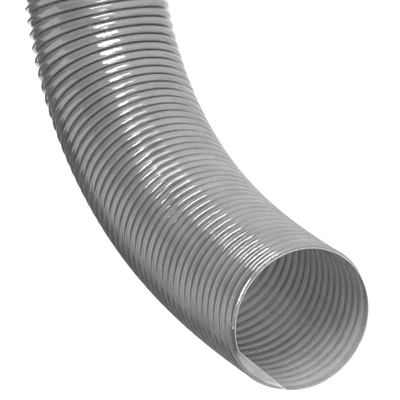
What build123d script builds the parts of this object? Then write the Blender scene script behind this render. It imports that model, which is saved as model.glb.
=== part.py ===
"""Flexible air duct: polyurethane film on a spring-steel wire helix, lying in a flat bend.

The duct is a chain of short sections. Each section has a rigid film tube and three turns of
the wire in their sleeve, and one soft fold of film joins it to the next section. The spine
starts at the mouth, at the origin, runs towards -X and bends towards +Y in the XY plane.
Millimetres, +Z up.
"""
import os
from bisect import bisect_right
from math import acos, cos, degrees, pi, sin, sqrt, tan

from build123d import *

# Driving dimensions
BORE_RADIUS = 62.5  # for a 125 mm spigot
FILM_THICKNESS = 0.8
WIRE_RADIUS = 0.75
SLEEVE_WALL = 0.8  # moulded on the wire, with no gap
SEAT_CLEARANCE = 0.1  # between the film and the sleeve on it
PITCH = 11.5  # of the wire helix
TURNS_PER_SECTION = 3
SECTIONS = 15
END_FILM = 2.0  # film beyond each end of the wire
FOLD_LENGTH = PITCH  # soft film between two rigid sections
FOLD_CLEARANCE = 0.05  # between a fold and each film tube
TURN_END_GAP = 2.4  # along the helix, between the wires of two sections
START_ANGLE = 1.5 * pi  # the helix starts at the top of the mouth
ARC_PAIRS_PER_TURN = 3  # the helix is a chain of tangent arcs
TANGENT_STEP = 1e-4  # angle used to find the helix's direction

# Bend of the spine, in radians per millimetre
BEND_AT_MOUTH = 0.51e-3
BEND_AT_FAR_END = 4.55e-3
BEND_REACH = 432.0  # the bend tightens up to here, and is steady beyond
BEND_POWER = 1.5

# Derived dimensions
FILM_RADIUS = BORE_RADIUS + FILM_THICKNESS
SLEEVE_RADIUS = WIRE_RADIUS + SLEEVE_WALL
HELIX_RADIUS = FILM_RADIUS + SEAT_CLEARANCE + SLEEVE_RADIUS
SECTION_LENGTH = TURNS_PER_SECTION * PITCH
DUCT_LENGTH = SECTIONS * SECTION_LENGTH + 2 * END_FILM


def bend_rate(distance):
    """How fast the spine turns, at a distance from the mouth."""
    reach = min(distance / BEND_REACH, 1.0)
    return BEND_AT_MOUTH + (BEND_AT_FAR_END - BEND_AT_MOUTH) * reach**BEND_POWER


def joint_distance(index):
    """Where the fold after section number index has its middle."""
    return END_FILM + index * SECTION_LENGTH - PITCH / 2


def spine_pieces():
    """The spine as tangent arcs, one for each film tube and fold: (start, length, rate)."""
    edges = [0.0]
    for index in range(1, SECTIONS):
        edges += [joint_distance(index) - FOLD_LENGTH / 2, joint_distance(index) + FOLD_LENGTH / 2]
    edges.append(DUCT_LENGTH)
    last = len(edges) - 2
    pieces = []
    for number, (start, end) in enumerate(zip(edges, edges[1:])):
        straight_end = number in (0, last)  # where a spigot goes in
        rate = 0.0 if straight_end else bend_rate((start + end) / 2)
        pieces.append((start, end - start, rate))
    return pieces


def advance(x, y, heading, rate, length):
    """The point and heading reached after a length of arc."""
    turned = heading + rate * length
    if rate == 0:
        return x - length * cos(heading), y + length * sin(heading), turned
    radius = 1 / rate
    return (
        x - radius * (sin(turned) - sin(heading)),
        y - radius * (cos(turned) - cos(heading)),
        turned,
    )


PIECES = spine_pieces()
PIECE_STARTS = [start for start, _, _ in PIECES]
STATIONS = [(0.0, 0.0, 0.0)]
for _, piece_length, piece_rate in PIECES:
    STATIONS.append(advance(*STATIONS[-1], piece_rate, piece_length))


def station(distance):
    """Point (x, y) and heading of the spine at a distance from the mouth."""
    number = min(max(bisect_right(PIECE_STARTS, distance) - 1, 0), len(PIECES) - 1)
    start, _, rate = PIECES[number]
    return advance(*STATIONS[number], rate, distance - start)


def spine_plane(distance):
    """A plane across the duct, its normal along the spine, away from the mouth."""
    x, y, heading = station(distance)
    return Plane(origin=(x, y, 0), x_dir=(sin(heading), cos(heading), 0), z_dir=(-cos(heading), sin(heading), 0))


def helix_point(angle):
    """A point of the wire's centreline. The angle runs on from turn to turn."""
    distance = END_FILM + PITCH * (angle - START_ANGLE) / (2 * pi)
    x, y, heading = station(distance)
    inward = HELIX_RADIUS * cos(angle)
    return (x + inward * sin(heading), y + inward * cos(heading), -HELIX_RADIUS * sin(angle))


def film_tube(number, clearance):
    """The film along one piece of the spine, kept clear of its neighbours' ends."""
    start, length, rate = PIECES[number]
    start, length = start + clearance, length - 2 * clearance
    x, y, heading = station(start)
    with BuildPart() as tube:
        with BuildSketch(spine_plane(start)):
            Circle(FILM_RADIUS)
            Circle(BORE_RADIUS, mode=Mode.SUBTRACT)
        if rate == 0:
            extrude(amount=length)
        else:
            centre = (x + sin(heading) / rate, y + cos(heading) / rate, 0)
            revolve(axis=Axis(centre, (0, 0, -1)), revolution_arc=degrees(rate * length))
    return tube.part


def helix_span(section):
    """First and last angle of one section's wire."""
    half_gap = TURN_END_GAP / 2 / HELIX_RADIUS
    first = START_ANGLE + 2 * pi * TURNS_PER_SECTION * section
    return first + half_gap, first + 2 * pi * TURNS_PER_SECTION - half_gap


def on_helix(angle):
    """A point of the helix and the direction of the wire there."""
    behind, ahead = Vector(*helix_point(angle - TANGENT_STEP)), Vector(*helix_point(angle + TANGENT_STEP))
    return Vector(*helix_point(angle)), (ahead - behind).normalized()


def arc_through(start, direction, end):
    """Three points of the arc that leaves start in a direction and comes to end."""
    chord = end - start
    lean = acos(direction.dot(chord) / chord.length)
    aside = (direction - chord * (cos(lean) / chord.length)).normalized()
    return start, start + chord * 0.5 + aside * (chord.length / 2 * tan(lean / 2)), end


def arc_pair(first, last):
    """Two tangent arcs along the helix between two angles, true to its ends and directions."""
    start, start_direction = on_helix(first)
    end, end_direction = on_helix(last)
    chord = end - start
    square = 2 * (1 - start_direction.dot(end_direction))
    linear = chord.dot(start_direction + end_direction)
    reach = (sqrt(linear**2 + square * chord.dot(chord)) - linear) / square
    before, after = start + start_direction * reach, end - end_direction * reach
    meeting = (before + after) * 0.5
    return (
        arc_through(start, start_direction, meeting),
        arc_through(meeting, (after - before).normalized(), end),
    )


def coil(section, radius, bore=0.0):
    """A round bar or sleeve along one section's turns of the helix."""
    first, last = helix_span(section)
    pairs = TURNS_PER_SECTION * ARC_PAIRS_PER_TURN
    step = (last - first) / pairs
    with BuildPart() as turns:
        with BuildLine() as path:
            for pair in range(pairs):
                for arc in arc_pair(first + step * pair, first + step * (pair + 1)):
                    ThreePointArc(*arc)
        route = path.wire()
        with BuildSketch(Plane(origin=route @ 0, z_dir=route % 0)):
            Circle(radius)
            if bore:
                Circle(bore, mode=Mode.SUBTRACT)
        sweep(path=route)
    return turns.part


def write(part, label):
    part.label = label
    export_step(part, f"parts/{label}.step")


os.makedirs("parts", exist_ok=True)
for section in range(SECTIONS):
    tag = f"{section + 1:02d}"
    write(film_tube(2 * section, 0.0), f"film_{tag}")
    write(coil(section, SLEEVE_RADIUS, WIRE_RADIUS), f"sleeve_{tag}")
    write(coil(section, WIRE_RADIUS), f"wire_{tag}")
    if section < SECTIONS - 1:
        write(film_tube(2 * section + 1, FOLD_CLEARANCE), f"fold_{tag}")
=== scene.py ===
"""Looks of the flexible air duct: smoky film wound on a spring-steel wire, in one frame with the CAD.

The film and the wire are built by formula on the CAD's spine. Each visual piece spans one joint
of the chain, shaped along the spine's curve across it.
"""
from bisect import bisect_right
from math import cos, pi, radians, sin

import bpy
import numpy as np
from mathutils import Matrix, Vector


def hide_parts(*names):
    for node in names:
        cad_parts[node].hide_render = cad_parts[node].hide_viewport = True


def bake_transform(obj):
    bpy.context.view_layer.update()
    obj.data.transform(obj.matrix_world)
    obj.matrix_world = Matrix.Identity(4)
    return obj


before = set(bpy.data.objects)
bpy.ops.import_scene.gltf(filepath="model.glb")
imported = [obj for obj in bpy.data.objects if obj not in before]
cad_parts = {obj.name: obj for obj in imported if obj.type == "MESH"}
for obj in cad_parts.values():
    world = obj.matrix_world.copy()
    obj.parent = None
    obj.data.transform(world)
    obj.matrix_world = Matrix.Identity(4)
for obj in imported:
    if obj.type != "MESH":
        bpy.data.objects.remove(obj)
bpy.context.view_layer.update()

# The duct's sizes, as in the CAD
PITCH = 0.0115
TURNS_PER_SECTION = 3
SECTIONS = 15
END_FILM = 0.002
FOLD_LENGTH = PITCH
START_ANGLE = 1.5 * pi
BEND_AT_MOUTH = 0.51
BEND_AT_FAR_END = 4.55
BEND_REACH = 0.432
BEND_POWER = 1.5
SECTION_LENGTH = TURNS_PER_SECTION * PITCH
DUCT_LENGTH = SECTIONS * SECTION_LENGTH + 2 * END_FILM
END_ANGLE = START_ANGLE + 2 * pi * SECTIONS * TURNS_PER_SECTION
SWAYING = 6  # the first joints also sway or stretch, with a body between two sections

# The film's section along one pitch
CREST_RADIUS = 0.0665
BEAD_CENTRE = 0.06470
BEAD_RADIUS = CREST_RADIUS - BEAD_CENTRE
NECK_RADIUS = 0.0641  # where the film leaves the bead
VALLEY_SLACK = 0.0010  # depth of the film's hollow between two beads, when stretched
ARCH_RADIUS = 0.0660  # the squeezed film arches over the wire up to here
FOLD_DEPTH = 0.0042  # depth of the crease between two arches
INNER_RELIEF = 0.0030  # how much flatter the arches are on the inside
INNER_PAINTED_LIGHT = 0.3  # painted light: line value of the whole inner surface, paler than outside to stand in for light through the film into the bore
RIM_PAINTED_HIGHLIGHT = 0.8  # painted highlight: line value of the rounded edge at both ends
FREE_END_HIGHLIGHT_DEPTH = 0.0015  # the free film at the mouth gets its full painted highlight once it leans in this far
SLACK_FROM, SLACK_TO = 1.16, 0.84  # local pitch over nominal, from all stretched to all squeezed
FILM_THICKNESS = 0.0007
WIRE_RADIUS = 0.00075
WIRE_HELIX_RADIUS = 0.06475
WIRE_END_TAPER = 0.05  # turning over which the ridge fades at the wire's ends
LEAST_SQUEEZE = 0.6  # the beads keep their width where the pitch is squeezed below this

# The painted shadow and painted highlight lines along each turn, standing in for the light and shade on the
# beads
# Painted shadow beside each bead
PAINTED_SHADOW_PLACE = BEAD_RADIUS * 1.05
PAINTED_SHADOW_WIDTH = 0.00036
# Painted highlight just beyond the painted shadow, standing in for light off the bead
HIGHLIGHT_BEYOND_SHADOW = 0.0009
PAINTED_HIGHLIGHT_WIDTH = 0.00035
CREASE_SHADE_FROM, CREASE_SHADE_RUN = 0.80, 0.14  # painted shade in the creases, in half pitches from the wire
FOLD_HIGHLIGHT_PLACE, FOLD_HIGHLIGHT_WIDTH = 0.66, 0.09  # painted highlight on one side of each squeezed fold, in half pitches from the wire
FOLD_HIGHLIGHT_STRENGTH = 0.3
# How dark the painted shadow and the painted crease shade are
PAINTED_SHADE_DEPTH = 1.2

# The free film at the mouth
FLAP_MIDDLE, FLAP_HALF_WIDTH = radians(222), radians(29)
FLAP_ROOT_SHORT = 0.0015  # the leaning film starts this far short of the wire
FLAP_POWER = 0.9

# Mesh density
COLUMNS = 120
OUTER_STEPS = (-0.5, -0.475, -0.44, -0.385, -0.3, -0.22, -0.18, -0.15, -0.11, -0.055,
               0.0, 0.055, 0.11, 0.15, 0.18, 0.22, 0.3, 0.385, 0.44, 0.475)
INNER_STEPS = (-0.5, -0.4, -0.27, -0.15, -0.05, 0.05, 0.15, 0.27, 0.4)
RIM_STEPS = 5
WIRE_COLUMNS = 72
WIRE_SIDES = 6
WIRE_STEPS_PER_UV = 8


# ---------------------------------------------------------------- the spine

def bend_rate(distance):
    """How fast the spine turns, at a distance from the mouth."""
    reach = np.minimum(np.maximum(distance, 0) / BEND_REACH, 1.0)
    return BEND_AT_MOUTH + (BEND_AT_FAR_END - BEND_AT_MOUTH) * reach**BEND_POWER


def joint_distance(index):
    """Where the fold after section number index has its middle."""
    return END_FILM + index * SECTION_LENGTH - PITCH / 2


def spine_pieces():
    """The spine as tangent arcs, one for each film tube and fold: (start, length, rate)."""
    edges = [0.0]
    for index in range(1, SECTIONS):
        edges += [joint_distance(index) - FOLD_LENGTH / 2, joint_distance(index) + FOLD_LENGTH / 2]
    edges.append(DUCT_LENGTH)
    last = len(edges) - 2
    pieces = []
    for number, (start, end) in enumerate(zip(edges, edges[1:])):
        rate = 0.0 if number in (0, last) else float(bend_rate((start + end) / 2))
        pieces.append((start, end - start, rate))
    return pieces


def advance(x, y, heading, rate, length):
    """The point and heading reached after a length of arc."""
    turned = heading + rate * length
    if rate == 0:
        return x - length * cos(heading), y + length * sin(heading), turned
    radius = 1 / rate
    return (
        x - radius * (sin(turned) - sin(heading)),
        y - radius * (cos(turned) - cos(heading)),
        turned,
    )


PIECES = spine_pieces()
PIECE_STARTS = [start for start, _, _ in PIECES]
STATIONS = [(0.0, 0.0, 0.0)]
for _, piece_length, piece_rate in PIECES:
    STATIONS.append(advance(*STATIONS[-1], piece_rate, piece_length))


def station(distance):
    """Point (x, y) and heading of the spine at a distance from the mouth."""
    number = min(max(bisect_right(PIECE_STARTS, distance) - 1, 0), len(PIECES) - 1)
    start, _, rate = PIECES[number]
    return advance(*STATIONS[number], rate, distance - start)


def spine_point(distance):
    x, y, _ = station(distance)
    return (x, y, 0.0)


def stations(distances):
    """Arrays x, y, heading of the spine."""
    return np.array([station(d) for d in distances]).T


# ---------------------------------------------------------------- the film's form

def smoothstep(t):
    t = np.clip(t, 0, 1)
    return t * t * (3 - 2 * t)


def smooth_top(low, high, width):
    """The larger of two values, rounded where they meet."""
    gap = np.clip(np.abs(high - low) / width, 0, 1)
    return np.maximum(low, high) + width * 0.25 * (1 - gap) ** 2


def wire_present(turn_angle):
    """1 where the wire runs, 0 beyond its two ends, with a short taper."""
    begun = smoothstep((turn_angle - START_ANGLE) / WIRE_END_TAPER)
    left = smoothstep((END_ANGLE - turn_angle) / WIRE_END_TAPER)
    return begun * left


def bead_distance(angle):
    """How far from the mouth the wire's first turn passes this angle."""
    return END_FILM + PITCH * (np.mod(angle - START_ANGLE, 2 * pi)) / (2 * pi)


def squeeze(angle, distance):
    """Local pitch over the nominal one: under 1 inside the bend, over 1 outside it."""
    return 1 - bend_rate(distance) * CREST_RADIUS * np.cos(angle)


def mouth_flap(angle, distance):
    """How far the free film at the mouth leans inwards, where it is widest."""
    off = np.mod(angle - FLAP_MIDDLE + pi, 2 * pi) - pi
    chord = NECK_RADIUS * (1 - np.cos(FLAP_HALF_WIDTH) / np.maximum(np.cos(off), 0.1))
    depth = np.where(np.abs(off) < FLAP_HALF_WIDTH, chord, 0.0)
    root = bead_distance(angle) - FLAP_ROOT_SHORT
    share = np.clip(1 - distance / np.maximum(root, 1e-4), 0, 1)
    return depth * share**FLAP_POWER


def radii(angle, distance):
    """Outer and inner radius of the film at an angle round the spine and a distance along it."""
    phase = (distance - bead_distance(angle)) / PITCH
    turn = np.round(phase)
    offset = phase - turn
    first_angle = START_ANGLE + np.mod(angle - START_ANGLE, 2 * pi)
    here = wire_present(first_angle + 2 * pi * turn)
    beyond = wire_present(first_angle + 2 * pi * (turn + np.sign(offset)))
    both = here * beyond
    ratio = squeeze(angle, distance)
    u = np.abs(offset) * 2
    hollow = NECK_RADIUS - both * VALLEY_SLACK * (1 - (1 - u) ** 2.2)
    along = offset * PITCH * np.maximum(ratio, LEAST_SQUEEZE)
    height = np.sqrt(np.maximum(BEAD_RADIUS**2 - along**2, 0))
    bead = np.where(np.abs(along) < BEAD_RADIUS, BEAD_CENTRE + height, 0)
    ridge = here * smooth_top(hollow, bead, 0.0006) + (1 - here) * hollow
    squareness = 3.9 - 1.3 * np.cos(angle - radians(80))  # rounder arches on one side, flatter ones opposite
    arch = ARCH_RADIUS - FOLD_DEPTH * u**squareness
    slack = both * smoothstep((SLACK_FROM - ratio) / (SLACK_FROM - SLACK_TO))
    outer = ridge * (1 - slack) + arch * slack
    lining = ARCH_RADIUS - INNER_RELIEF - (FOLD_DEPTH - INNER_RELIEF) * u**squareness
    inner = hollow * (1 - slack) + lining * slack - FILM_THICKNESS
    flap = mouth_flap(angle, distance)
    return outer - flap, inner - flap


def on_wire(angle, distance):
    """1 over the wire, 0 on the plain film beside it."""
    phase = (distance - bead_distance(angle)) / PITCH
    turn = np.round(phase)
    first_angle = START_ANGLE + np.mod(angle - START_ANGLE, 2 * pi)
    here = wire_present(first_angle + 2 * pi * turn)
    along = np.abs(phase - turn) * PITCH * np.maximum(squeeze(angle, distance), LEAST_SQUEEZE)
    return here * smoothstep((BEAD_RADIUS * 1.25 - along) / (BEAD_RADIUS * 0.5))


def painted_light_lines(angle, distance):
    """-1 in the painted shadow beside the wire, or in the painted shade of the crease when squeezed, and up
    to 1 on the painted highlight just beyond the shadow, which is fainter when squeezed. The lines follow every
    turn."""
    phase = (distance - bead_distance(angle)) / PITCH
    turn = np.round(phase)
    first_angle = START_ANGLE + np.mod(angle - START_ANGLE, 2 * pi)
    here = wire_present(first_angle + 2 * pi * turn)
    beyond = wire_present(first_angle + 2 * pi * (turn + np.sign(phase - turn)))
    ratio = squeeze(angle, distance)
    slack = smoothstep((SLACK_FROM - ratio) / (SLACK_FROM - SLACK_TO))
    side = phase - turn
    along = side * PITCH * np.maximum(ratio, LEAST_SQUEEZE)
    # Painted shadow beside the bead and painted shade in the crease
    bead_shadow = np.exp(-(((along - PAINTED_SHADOW_PLACE) / PAINTED_SHADOW_WIDTH) ** 2))
    crease = smoothstep((np.abs(side) * 2 - CREASE_SHADE_FROM) / CREASE_SHADE_RUN)
    # Painted highlight beyond the shadow and on one side of each squeezed fold
    bead_highlight = np.exp(-(((along - PAINTED_SHADOW_PLACE - HIGHLIGHT_BEYOND_SHADOW) / PAINTED_HIGHLIGHT_WIDTH) ** 2))
    fold_highlight = np.exp(-(((side * 2 + FOLD_HIGHLIGHT_PLACE) / FOLD_HIGHLIGHT_WIDTH) ** 2))
    painted_shade = bead_shadow * (1 - slack) + beyond * crease * slack
    painted_highlight = bead_highlight * (1 - slack) + FOLD_HIGHLIGHT_STRENGTH * fold_highlight * slack
    # Painted highlight counts up, painted shade counts down
    return here * np.clip(painted_highlight - PAINTED_SHADE_DEPTH * painted_shade, -1, 1)


def light_and_shade_paint(angle, distance, which):
    """The film's painted light value: painted shadow and highlight lines outside, an even painted light on the
    whole inner surface, and a painted highlight on the free end.
    """
    lines = painted_light_lines(angle, distance) if which == 0 else np.full(len(angle), INNER_PAINTED_LIGHT)
    # Painted highlight on the free film leaning in at the mouth
    free_end_highlight = smoothstep(mouth_flap(angle, distance) / FREE_END_HIGHLIGHT_DEPTH)
    return lines * (1 - free_end_highlight) + free_end_highlight


def surface(angle, distance, which):
    """Points of the outer (0) or inner (1) surface."""
    x, y, heading = stations(distance)
    radius = radii(angle, distance)[which]
    inward = radius * np.cos(angle)
    columns = [x + inward * np.sin(heading), y + inward * np.cos(heading), -radius * np.sin(angle)]
    return np.stack(columns, axis=1)


def surface_normals(angle, distance, which):
    """Outward normals, by differences."""
    step_angle, step_along = 2e-3, 5e-5
    across = surface(angle + step_angle, distance, which) - surface(angle - step_angle, distance, which)
    along = surface(angle, distance + step_along, which) - surface(angle, distance - step_along, which)
    normal = np.cross(across, along)
    normal /= np.linalg.norm(normal, axis=1)[:, None]
    _, _, heading = stations(distance)
    inward = np.cos(angle)
    radial = np.stack([inward * np.sin(heading), inward * np.cos(heading), -np.sin(angle)], axis=1)
    normal *= np.sign((normal * radial).sum(1))[:, None]
    return normal if which == 0 else -normal


# ---------------------------------------------------------------- mesh building

class Skin:
    """The points, normals and faces of one mesh while it is put together."""

    def __init__(self):
        self.points, self.normals, self.flat, self.ridge, self.line = [], [], [], [], []
        self.faces, self.corners = [], []

    def add(self, points, normals, flat, ridge, line):
        """Adds points, with their places on the film before it was bent. Returns the first number."""
        first = sum(len(p) for p in self.points)
        self.points.append(points)
        self.normals.append(normals)
        self.flat.append(flat)
        self.ridge.append(ridge)
        self.line.append(line)
        return first

    def face(self, ids, corners):
        """Adds a face from its corners, leaving out repeated ones."""
        kept = [n for n in range(len(ids)) if ids[n] != ids[n - 1]]
        if len(kept) < 3 or len({ids[n] for n in kept}) != len(kept):
            return
        self.faces.append([ids[n] for n in kept])
        self.corners += [corners[n] for n in kept]

    def build(self, name, material):
        mesh = bpy.data.meshes.new(name)
        mesh.from_pydata(np.concatenate(self.points).tolist(), [], self.faces)
        mesh.polygons.foreach_set("use_smooth", [True] * len(mesh.polygons))
        layer = mesh.uv_layers.new(name="film")
        layer.data.foreach_set("uv", np.array(self.corners, np.float32).ravel())
        flat = mesh.attributes.new("flat", "FLOAT_VECTOR", "POINT")
        flat.data.foreach_set("vector", np.concatenate(self.flat).astype(np.float32).ravel())
        # line holds the painted shadow, painted highlight and painted inner light values
        for attribute, values in (("ridge", self.ridge), ("line", self.line)):
            layer = mesh.attributes.new(attribute, "FLOAT", "POINT")
            layer.data.foreach_set("value", np.concatenate(values).astype(np.float32))
        mesh.normals_split_custom_set_from_vertices(np.concatenate(self.normals).tolist())
        mesh.materials.append(material)
        piece = bpy.data.objects.new(name, mesh)
        bpy.context.scene.collection.objects.link(piece)
        return piece


def lay_surface(skin, start, end, steps, which):
    """One surface of the film between two planes across the spine, with rows that follow the wire.
    Returns each column's point at the start and at the end."""
    first_turn, last_turn = int(start / PITCH) - 3, int(end / PITCH) + 2
    rows = (np.arange(first_turn, last_turn + 1)[:, None] + np.array(steps)[None, :]).ravel()
    tolerance = 2e-5
    known, angles, distances, columns = {}, [], [], []
    for column in range(COLUMNS + 1):
        raw = END_FILM + PITCH * (rows + column / COLUMNS)
        raw = np.where(raw < start + tolerance, start, np.where(raw > end - tolerance, end, raw))
        line = []
        for distance in raw:
            key = (column % COLUMNS, round(distance * 1e7))
            if key not in known:
                known[key] = len(angles)
                angles.append(START_ANGLE + 2 * pi * (column % COLUMNS) / COLUMNS)
                distances.append(distance)
            line.append((known[key], distance / PITCH))
        columns.append(line)
    angle, distance = np.array(angles), np.array(distances)
    flat = np.stack([NECK_RADIUS * np.cos(angle), NECK_RADIUS * np.sin(angle), distance], axis=1)
    first = skin.add(
        surface(angle, distance, which),
        surface_normals(angle, distance, which),
        flat,
        on_wire(angle, distance) * (1 - which),
        light_and_shade_paint(angle, distance, which),
    )
    for column in range(COLUMNS):
        left, right = columns[column], columns[column + 1]
        here, there = column / COLUMNS, (column + 1) / COLUMNS
        for row in range(len(rows) - 1):
            corners = [
                (left[row][0], (here, left[row][1])),
                (left[row + 1][0], (here, left[row + 1][1])),
                (right[row + 1][0], (there, right[row + 1][1])),
                (right[row][0], (there, right[row][1])),
            ]
            if which == 0:
                corners.reverse()
            skin.face([first + c[0] for c in corners], [c[1] for c in corners])
    return (
        [first + columns[c][0][0] for c in range(COLUMNS)],
        [first + columns[c][-1][0] for c in range(COLUMNS)],
    )


def lay_rim(skin, outer, inner, distance, towards):
    """The rounded edge of the film at an end of the duct; towards is -1 at the mouth, 1 at the far end."""
    angle = START_ANGLE + 2 * pi * np.arange(COLUMNS) / COLUMNS
    place = np.full(COLUMNS, distance)
    top, bottom = surface(angle, place, 0), surface(angle, place, 1)
    _, _, heading = station(distance)
    along = towards * np.array([-cos(heading), sin(heading), 0.0])
    across = (top - bottom) / 2
    half = np.linalg.norm(across, axis=1)[:, None]
    flat = np.stack([NECK_RADIUS * np.cos(angle), NECK_RADIUS * np.sin(angle), place], axis=1)
    rings = [outer]
    for number in range(1, RIM_STEPS):
        turn = pi * number / RIM_STEPS
        normal = across / half * cos(turn) + along * sin(turn)
        # The rim gets a painted highlight
        ridge, line = np.ones(COLUMNS), np.full(COLUMNS, RIM_PAINTED_HIGHLIGHT)
        first = skin.add((top + bottom) / 2 + normal * half, normal, flat, ridge, line)
        rings.append([first + c for c in range(COLUMNS)])
    rings.append(inner)
    for upper, lower in zip(rings, rings[1:]):
        for column in range(COLUMNS):
            other = (column + 1) % COLUMNS
            here, there = column / COLUMNS, (column + 1) / COLUMNS
            ids = [upper[column], upper[other], lower[other], lower[column]]
            corners = [(here, distance / PITCH), (there, distance / PITCH)] * 2
            if towards < 0:
                ids.reverse()
                corners.reverse()
            skin.face(ids, corners)


def film_piece(name, start, end, material):
    skin = Skin()
    outer_start, outer_end = lay_surface(skin, start, end, OUTER_STEPS, 0)
    inner_start, inner_end = lay_surface(skin, start, end, INNER_STEPS, 1)
    if start == 0:
        lay_rim(skin, outer_start, inner_start, start, -1)
    if end == DUCT_LENGTH:
        lay_rim(skin, outer_end, inner_end, end, 1)
    return skin.build(name, material)


def wire_centre(turn_angle):
    """Points of the wire's centre line and the outward direction there."""
    distance = END_FILM + PITCH * (turn_angle - START_ANGLE) / (2 * pi)
    x, y, heading = stations(distance)
    outward = np.stack([np.cos(turn_angle) * np.sin(heading), np.cos(turn_angle) * np.cos(heading),
                        -np.sin(turn_angle)], axis=1)
    return np.stack([x, y, np.zeros_like(x)], axis=1) + WIRE_HELIX_RADIUS * outward, outward


def wire_piece(name, start, end, material):
    """The wire between two planes across the spine, closed at both ends."""
    first_angle = START_ANGLE + 2 * pi * max(start - END_FILM, 0) / PITCH
    last_angle = min(START_ANGLE + 2 * pi * (end - END_FILM) / PITCH, END_ANGLE)
    count = max(int(round((last_angle - first_angle) / (2 * pi) * WIRE_COLUMNS)), 2)
    turn_angle = np.linspace(first_angle, last_angle, count + 1)
    centre, outward = wire_centre(turn_angle)
    tangent = wire_centre(turn_angle + 1e-3)[0] - wire_centre(turn_angle - 1e-3)[0]
    tangent /= np.linalg.norm(tangent, axis=1)[:, None]
    aside = np.cross(tangent, outward)
    aside /= np.linalg.norm(aside, axis=1)[:, None]
    run = (turn_angle - START_ANGLE) * WIRE_HELIX_RADIUS
    skin = Skin()
    rings = []
    for side in range(WIRE_SIDES):
        turn = 2 * pi * side / WIRE_SIDES
        normal = outward * cos(turn) + aside * sin(turn)
        flat = np.stack([np.full_like(run, WIRE_RADIUS * cos(turn)),
                         np.full_like(run, WIRE_RADIUS * sin(turn)), run], axis=1)
        first = skin.add(centre + WIRE_RADIUS * normal, normal, flat, np.ones(count + 1), np.zeros(count + 1))
        rings.append([first + n for n in range(count + 1)])
    for side in range(WIRE_SIDES):
        near, far = rings[side], rings[(side + 1) % WIRE_SIDES]
        low, high = side / WIRE_SIDES, (side + 1) / WIRE_SIDES
        for n in range(count):
            ids = [near[n], far[n], far[n + 1], near[n + 1]]
            here, there = n / WIRE_STEPS_PER_UV, (n + 1) / WIRE_STEPS_PER_UV
            skin.face(ids, [(low, here), (high, here), (high, there), (low, there)])
    for place, forward in ((0, False), (count, True)):
        ids = [ring[place] for ring in rings]
        if not forward:
            ids.reverse()
        skin.face(ids, [(0.0, place / WIRE_STEPS_PER_UV)] * WIRE_SIDES)
    return skin.build(name, material)


# ---------------------------------------------------------------- materials

def new_material(name):
    material = bpy.data.materials.new(name)
    material.use_nodes = True
    tree = material.node_tree
    tree.nodes.clear()
    output = tree.nodes.new("ShaderNodeOutputMaterial")
    shader = tree.nodes.new("ShaderNodeBsdfPrincipled")
    tree.links.new(shader.outputs["BSDF"], output.inputs["Surface"])
    return material, tree, shader


def noise_on(tree, place, scale, detail, roughness=0.5):
    noise = tree.nodes.new("ShaderNodeTexNoise")
    noise.inputs["Scale"].default_value = scale
    noise.inputs["Detail"].default_value = detail
    noise.inputs["Roughness"].default_value = roughness
    tree.links.new(place, noise.inputs["Vector"])
    return noise.outputs["Fac"]


def ramp_on(tree, value, stops):
    ramp = tree.nodes.new("ShaderNodeValToRGB")
    elements = ramp.color_ramp.elements
    while len(elements) > len(stops):
        elements.remove(elements[-1])
    while len(elements) < len(stops):
        elements.new(1.0)
    for element, (position, colour) in zip(elements, stops):
        element.position = position
        element.color = (*colour, 1.0)
    tree.links.new(value, ramp.inputs["Fac"])
    return ramp.outputs["Color"]


def spread_on(tree, value, low, high):
    """Maps a value from 0..1 to low..high."""
    spread = tree.nodes.new("ShaderNodeMapRange")
    spread.inputs["To Min"].default_value = low
    spread.inputs["To Max"].default_value = high
    tree.links.new(value, spread.inputs["Value"])
    return spread.outputs["Result"]


def part_on(tree, value, nothing, full):
    """0 where value is nothing, 1 where it is full, and clamped beyond."""
    part = tree.nodes.new("ShaderNodeMapRange")
    part.inputs["From Min"].default_value = nothing
    part.inputs["From Max"].default_value = full
    tree.links.new(value, part.inputs["Value"])
    return part.outputs["Result"]


def attribute_on(tree, name, output):
    attribute = tree.nodes.new("ShaderNodeAttribute")
    attribute.attribute_name = name
    return attribute.outputs[output]


def flat_place(tree):
    return attribute_on(tree, "flat", "Vector")


def mix_on(tree, share, low, high):
    """low where share is 0, high where it is 1."""
    mix = tree.nodes.new("ShaderNodeMix")
    tree.links.new(share, mix.inputs["Factor"])
    tree.links.new(low, mix.inputs["A"])
    tree.links.new(high, mix.inputs["B"])
    return mix.outputs["Result"]


def mix_colour_on(tree, share, low, high):
    mix = tree.nodes.new("ShaderNodeMix")
    mix.data_type = "RGBA"
    tree.links.new(share, mix.inputs[0])
    tree.links.new(low, mix.inputs[6])
    tree.links.new(high, mix.inputs[7])
    return mix.outputs[2]


def bump_on(tree, shader, height, strength, distance):
    bump = tree.nodes.new("ShaderNodeBump")
    bump.inputs["Strength"].default_value = strength
    bump.inputs["Distance"].default_value = distance
    tree.links.new(height, bump.inputs["Height"])
    tree.links.new(bump.outputs["Normal"], shader.inputs["Normal"])


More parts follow.
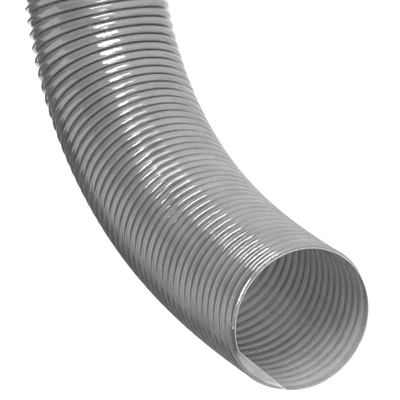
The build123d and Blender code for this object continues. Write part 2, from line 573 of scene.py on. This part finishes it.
def film_material():
    """Smoky polyurethane film: glossy and see-through, thicker over the wire, with faint ripples, and with
    painted shadow, painted shade and painted highlight lines from the line attribute.
    """
    material, tree, shader = new_material("smoky_film")
    place = flat_place(tree)
    ridge = attribute_on(tree, "ridge", "Fac")
    cloud = noise_on(tree, place, 38, 3)
    fine = noise_on(tree, place, 420, 2)
    # line: painted shadow and crease shade below 0, painted highlight and painted inner light above 0
    line = attribute_on(tree, "line", "Fac")
    painted_shade_share, painted_highlight_share = part_on(tree, line, 0.0, -1.0), part_on(tree, line, 0.0, 1.0)
    clear = ramp_on(tree, cloud, [(0.3, (0.10, 0.10, 0.102)), (0.7, (0.135, 0.135, 0.135))])
    # Near black: the painted shadow beside the wire and the painted shade in the creases
    painted_shade = ramp_on(tree, cloud, [(0.3, (0.010, 0.010, 0.011)), (0.7, (0.020, 0.020, 0.020))])
    # Pale: the painted highlight
    painted_highlight = ramp_on(tree, cloud, [(0.3, (0.36, 0.36, 0.36)), (0.7, (0.5, 0.5, 0.495))])
    colour = mix_colour_on(tree, painted_highlight_share, mix_colour_on(tree, painted_shade_share, clear, painted_shade), painted_highlight)
    tree.links.new(colour, shader.inputs["Base Color"])
    tree.links.new(spread_on(tree, fine, 0.05, 0.12), shader.inputs["Roughness"])
    thin, thick = spread_on(tree, cloud, 0.66, 0.74), spread_on(tree, cloud, 0.68, 0.76)
    single = mix_on(tree, ridge, thin, thick)
    # The painted shade lines are also more opaque
    painted_shade_alpha = mix_on(tree, painted_shade_share, single, spread_on(tree, cloud, 0.84, 0.92))
    tree.links.new(mix_on(tree, painted_highlight_share, painted_shade_alpha, spread_on(tree, cloud, 0.66, 0.76)), shader.inputs["Alpha"])
    shader.inputs["IOR"].default_value = 1.52
    shader.inputs["Coat Weight"].default_value = 0.8
    shader.inputs["Coat Roughness"].default_value = 0.03
    bump_on(tree, shader, noise_on(tree, place, 90, 1), 0.1, 0.0003)
    return material


def wire_material():
    """Drawn spring steel with lengthwise streaks."""
    material, tree, shader = new_material("spring_steel")
    place = flat_place(tree)
    stretch = tree.nodes.new("ShaderNodeMapping")
    stretch.inputs["Scale"].default_value = (1.0, 1.0, 0.02)
    tree.links.new(place, stretch.inputs["Vector"])
    streak = noise_on(tree, stretch.outputs["Vector"], 2600, 3)
    colour = ramp_on(tree, streak, [(0.3, (0.45, 0.45, 0.46)), (0.75, (0.66, 0.66, 0.67))])
    tree.links.new(colour, shader.inputs["Base Color"])
    tree.links.new(spread_on(tree, streak, 0.22, 0.4), shader.inputs["Roughness"])
    shader.inputs["Metallic"].default_value = 1.0
    return material


def floor_material():
    """Pale matt floor with a very faint mottling."""
    material, tree, shader = new_material("pale_floor")
    place = tree.nodes.new("ShaderNodeTexCoord").outputs["Object"]
    cloud = noise_on(tree, place, 3, 2)
    colour = ramp_on(tree, cloud, [(0.3, (0.90, 0.90, 0.90)), (0.7, (0.93, 0.93, 0.93))])
    tree.links.new(colour, shader.inputs["Base Color"])
    shader.inputs["Roughness"].default_value = 0.9
    shader.inputs["Specular IOR Level"].default_value = 0.1
    shader.inputs["Emission Color"].default_value = (1.0, 1.0, 1.0, 1.0)
    shader.inputs["Emission Strength"].default_value = 0.5
    return material


# ---------------------------------------------------------------- the duct

def name_of(kind, number):
    return f"{kind}_{number:02d}"


def cell_middle(index):
    return joint_distance(index) - SECTION_LENGTH / 2


def lay_duct():
    film, steel = film_material(), wire_material()
    spans = []
    for index in range(1, SECTIONS):
        start = 0.0 if index == 1 else cell_middle(index)
        middle = joint_distance(index)
        end = DUCT_LENGTH if index == SECTIONS - 1 else cell_middle(index + 1)
        here, there = name_of("section", index), name_of("section", index + 1)
        if index <= SWAYING:
            fold = name_of("fold_body", index)
            spans.append((f"{index:02d}a", start, middle, here, fold, cell_middle(index), middle, index))
            spans.append((f"{index:02d}b", middle, end, fold, there, middle, cell_middle(index + 1), index))
        else:
            bend = cell_middle(index), cell_middle(index + 1)
            spans.append((f"{index:02d}", start, end, here, there, *bend, index))
    for tag, start, end, a, b, bend_start, bend_end, index in spans:
        ends = spine_point(bend_start), spine_point(bend_end)
        skin = film_piece(f"film_skin_{tag}", start, end, film)
        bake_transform(skin)
        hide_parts(*[name_of(kind, number) for kind, number in (
            ("film", index), ("sleeve", index), ("fold", index), ("film", index + 1), ("sleeve", index + 1))])
        coil = wire_piece(f"wire_coil_{tag}", start, end, steel)
        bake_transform(coil)
        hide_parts(name_of("wire", index), name_of("wire", index + 1))


lay_duct()


# ---------------------------------------------------------------- floor, light and camera

def area_light(name, place, target, width, height, power, colour=(1, 1, 1)):
    data = bpy.data.lights.new(name, "AREA")
    data.shape = "RECTANGLE"
    data.size, data.size_y = width, height
    data.energy = power
    data.color = colour
    lamp = bpy.data.objects.new(name, data)
    bpy.context.scene.collection.objects.link(lamp)
    lamp.location = place
    lamp.rotation_euler = (Vector(target) - Vector(place)).to_track_quat("-Z", "Y").to_euler()
    return lamp


def lay_floor():
    size = 6.0
    level = -CREST_RADIUS - 0.0002
    mesh = bpy.data.meshes.new("floor")
    corners = [(-size, -size, level), (size, -size, level), (size, size, level), (-size, size, level)]
    mesh.from_pydata(corners, [], [(0, 1, 2, 3)])
    mesh.materials.append(floor_material())
    floor = bpy.data.objects.new("floor", mesh)
    bpy.context.scene.collection.objects.link(floor)


def set_world():
    world = bpy.data.worlds.new("studio")
    bpy.context.scene.world = world
    world.use_nodes = True
    sky = world.node_tree.nodes["Background"]
    sky.inputs["Color"].default_value = (1.0, 1.0, 1.0, 1.0)
    sky.inputs["Strength"].default_value = 0.16


def place_camera():
    data = bpy.data.cameras.new("camera")
    data.sensor_width = 36
    data.lens = 420
    data.clip_end = 50
    camera = bpy.data.objects.new("camera", data)
    bpy.context.scene.collection.objects.link(camera)
    right = Vector((0.432, 0.013, -0.902))
    up = Vector((-0.278, 0.953, -0.119))
    back = right.cross(up).normalized()
    up = back.cross(right).normalized()
    right = up.cross(back)
    turned = Matrix((right, up, back)).transposed().to_4x4()
    turned.translation = Vector((3.358, 1.302, 1.724))
    camera.matrix_world = turned
    bpy.context.scene.camera = camera


lay_floor()
set_world()
bpy.context.scene.view_settings.view_transform = "Standard"
middle = Vector((-0.25, 0.08, 0.0))
area_light("key", middle + 4 * Vector((0.436, 0.863, 0.254)), middle, 1.7, 2.4, 280)
area_light("top", middle + 2.5 * Vector((-0.2, -0.3, 0.93)), middle, 2.4, 2.4, 40)
area_light("fill", 2.5 * Vector((0.96, 0.12, 0.26)), Vector((0, 0, 0)), 0.7, 0.7, 75)
place_camera()
